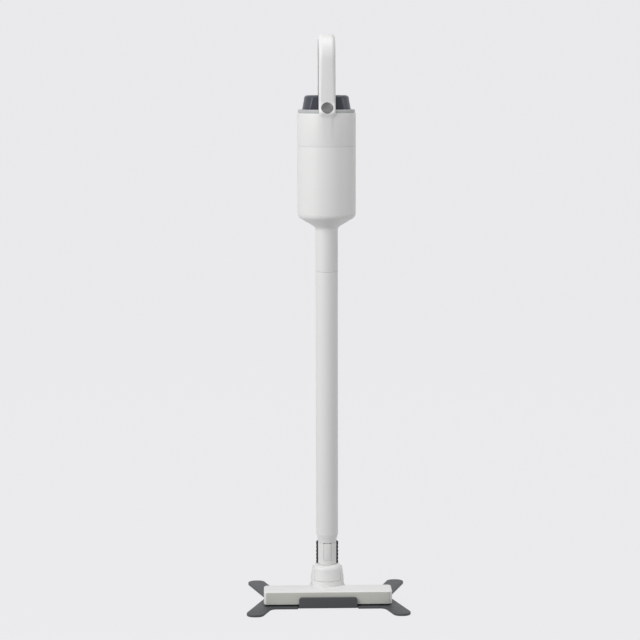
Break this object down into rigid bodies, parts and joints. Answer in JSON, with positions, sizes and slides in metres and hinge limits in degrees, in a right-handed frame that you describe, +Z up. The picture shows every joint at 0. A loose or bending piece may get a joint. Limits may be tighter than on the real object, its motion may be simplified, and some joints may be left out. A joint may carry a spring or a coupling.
{
  "type": "cordless stick vacuum cleaner",
  "caption": "Upright cordless stick vacuum: slim floor head on a cross-shaped stand, thin wand, round dust bin and motor unit with a hoop handle and a battery on top.",
  "frame": {"origin": "centre of the stand's footprint on the floor, on the stick's axis", "axes": "+Z up along the wand; -Y is the front, where the power button and the head's mouth are; +X is to the viewer's right"},
  "size_m": [0.279, 0.21, 0.9787],
  "materials": {
    "white_plastic": "satin, fine grain",
    "white_enamel": "satin powder coat",
    "stand_paint": "matt powder coat",
    "slate_plastic": "satin",
    "black_plastic": "satin",
    "soft_grip": "matt",
    "black_rubber": "matt",
    "grey_button": "satin",
    "pin_steel": "turned",
    "screw_steel": "blackened",
    "motor_aluminium": "die cast",
    "laminations": "stacked sheet",
    "magnet": "ground",
    "board_green": "lacquered",
    "filter_paper": "folded paper",
    "filter_mesh": "woven",
    "foam": "open cell",
    "cell_sleeve": "shrink sleeve",
    "contact_brass": "plated",
    "bristle": "brushed"
  },
  "bodies": {
    "stand": {"stand_plate": "stand_paint", "stand_pads": "black_rubber"},
    "floor_head": {"head_upper_shell": "white_plastic", "head_sole_plate": "black_plastic", "head_lint_strips": "bristle", "head_screws": "screw_steel", "wheel_axles": "pin_steel", "pivot_pins": "pin_steel"},
    "wheel_left": {"head_wheel_left": "black_rubber"},
    "wheel_right": {"head_wheel_right": "black_rubber"},
    "tilt_ball": {"ball_front_shell": "white_plastic", "ball_rear_shell": "white_plastic"},
    "wand": {"neck_tube": "black_plastic", "neck_front_cover": "white_plastic", "neck_rear_boot": "black_rubber", "wand_tube": "white_enamel", "wand_insert": "black_plastic", "wand_spigot": "black_plastic", "wand_seal": "black_rubber"},
    "head_release": {"head_release_button": "grey_button"},
    "dust_bin": {"dust_cup": "white_plastic", "inlet_standpipe": "black_plastic", "flap_pin": "pin_steel"},
    "bin_flap": {"inlet_flap": "black_rubber"},
    "filter": {"filter_frame": "black_plastic", "mesh_screen": "filter_mesh", "pleated_filter": "filter_paper", "filter_seal": "black_rubber"},
    "motor_unit": {"upper_casing": "white_plastic", "handle_grip": "soft_grip", "battery_deck": "white_plastic", "terminal_block": "black_plastic", "power_switch": "black_plastic", "charging_inlet": "black_plastic", "motor_mount": "black_rubber", "motor_housing": "motor_aluminium", "motor_stator": "laminations", "motor_bearings": "pin_steel", "diffuser": "black_plastic", "control_board": "board_green", "exhaust_foam": "foam"},
    "rotor": {"motor_shaft": "pin_steel", "impeller": "motor_aluminium", "rotor_magnet": "magnet"},
    "power_key": {"power_button": "grey_button"},
    "battery": {"battery_tub": "slate_plastic", "battery_cover": "slate_plastic", "battery_cells": "cell_sleeve", "battery_contacts": "contact_brass"}
  },
  "joints": [
    {"name": "vacuum_lift", "type": "slide", "parent": "stand", "child": "floor_head", "axis": [0, 0, 1], "range_m": [0, 0.06]},
    {"name": "wheel_left_roll", "type": "hinge", "parent": "floor_head", "child": "wheel_left", "pos_m": [-0.084, -0.023, 0.0103], "axis": [1, 0, 0], "continuous": true},
    {"name": "wheel_right_roll", "type": "hinge", "parent": "floor_head", "child": "wheel_right", "pos_m": [0.084, -0.023, 0.0103], "axis": [1, 0, 0], "continuous": true},
    {"name": "neck_tilt", "type": "hinge", "parent": "floor_head", "child": "tilt_ball", "pos_m": [0, 0, 0.0395], "axis": [-1, 0, 0], "range_deg": [0, 70]},
    {"name": "neck_swivel", "type": "hinge", "parent": "tilt_ball", "child": "wand", "pos_m": [0, 0, 0.064], "axis": [0, 0, 1], "range_deg": [-90, 90]},
    {"name": "release_press", "type": "slide", "parent": "wand", "child": "head_release", "axis": [0, 1, 0], "range_m": [0, 0.0012], "stiffness_N_per_m": 600, "springref_m": -0.001},
    {"name": "body_lift", "type": "slide", "parent": "wand", "child": "dust_bin", "axis": [0, 0, 1], "range_m": [0, 0.06]},
    {"name": "flap_swing", "type": "hinge", "parent": "dust_bin", "child": "bin_flap", "pos_m": [0, 0.0196, 0.7006], "axis": [-1, 0, 0], "range_deg": [0, 70]},
    {"name": "unit_lift", "type": "slide", "parent": "dust_bin", "child": "motor_unit", "axis": [0, 0, 1], "range_m": [0, 0.12]},
    {"name": "filter_lift", "type": "slide", "parent": "dust_bin", "child": "filter", "axis": [0, 0, 1], "range_m": [0, 0.06]},
    {"name": "impeller_spin", "type": "hinge", "parent": "motor_unit", "child": "rotor", "pos_m": [0, 0, 0.81], "axis": [0, 0, 1], "continuous": true},
    {"name": "power_press", "type": "slide", "parent": "motor_unit", "child": "power_key", "axis": [0, 0.8275, -0.5615], "range_m": [0, 0.0012], "stiffness_N_per_m": 600, "springref_m": -0.001},
    {"name": "battery_lift", "type": "slide", "parent": "motor_unit", "child": "battery", "axis": [0, 0, 1], "range_m": [0, 0.05]}
  ],
  "couplings": [
    {"joint": "filter_lift", "follows": "unit_lift", "ratio": 0.5}
  ]
}
